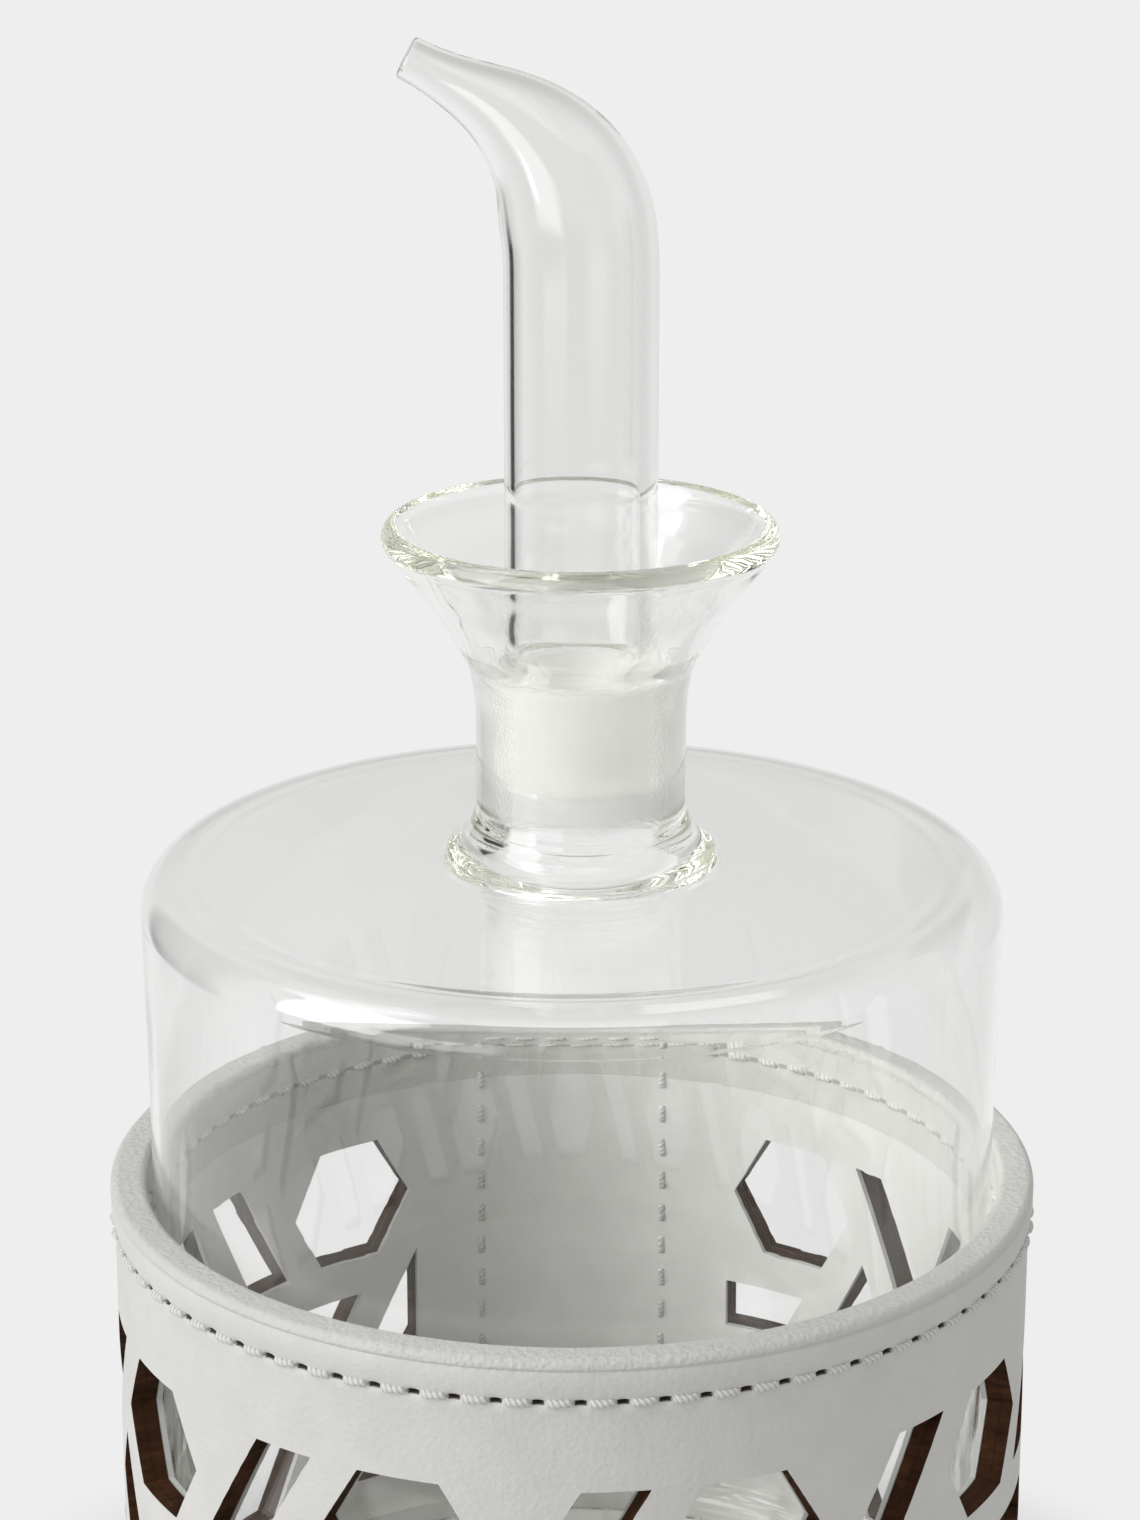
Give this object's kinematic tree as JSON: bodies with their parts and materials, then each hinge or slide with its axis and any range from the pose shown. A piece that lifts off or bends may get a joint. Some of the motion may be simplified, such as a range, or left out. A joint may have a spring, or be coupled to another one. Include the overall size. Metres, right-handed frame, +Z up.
{
  "type": "oil cruet",
  "caption": "Cylindrical glass cruet with a funnel neck and a curved ground-glass pouring spout, standing in a stitched leather sleeve with geometric fretwork",
  "frame": {"origin": "centre of the foot pad's under face, on the surface the cruet stands on", "axes": "+Z up along the shared axis of flask, spout and sleeve, +Y towards the sleeve's seam strap, -X the way the spout's nose points"},
  "size_m": [0.0874, 0.0888, 0.1707],
  "materials": {
    "clear_glass": "clear polished, ground matt where spout and neck meet",
    "white_leather": "off-white, semi-matt, fine grain",
    "brown_core": "dark brown fibre leather, matt",
    "lining_leather": "off-white, smooth",
    "base_board": "brown fibreboard, matt",
    "foot_felt": "grey pressed felt"
  },
  "bodies": {
    "sleeve": {"sleeve_cover": "white_leather", "sleeve_core": "brown_core", "sleeve_lining": "lining_leather", "seam_strap": "white_leather", "base_board": "base_board", "base_lining": "lining_leather", "foot_pad": "foot_felt"},
    "flask": {"glass_flask": "clear_glass"},
    "spout": {"pour_spout": "clear_glass"}
  },
  "joints": [
    {"name": "flask_lift", "type": "slide", "parent": "sleeve", "child": "flask", "axis": [0, 0, 1], "range_m": [0, 0.065]},
    {"name": "spout_lift", "type": "slide", "parent": "flask", "child": "spout", "axis": [0, 0, 1], "range_m": [0, 0.03]}
  ]
}
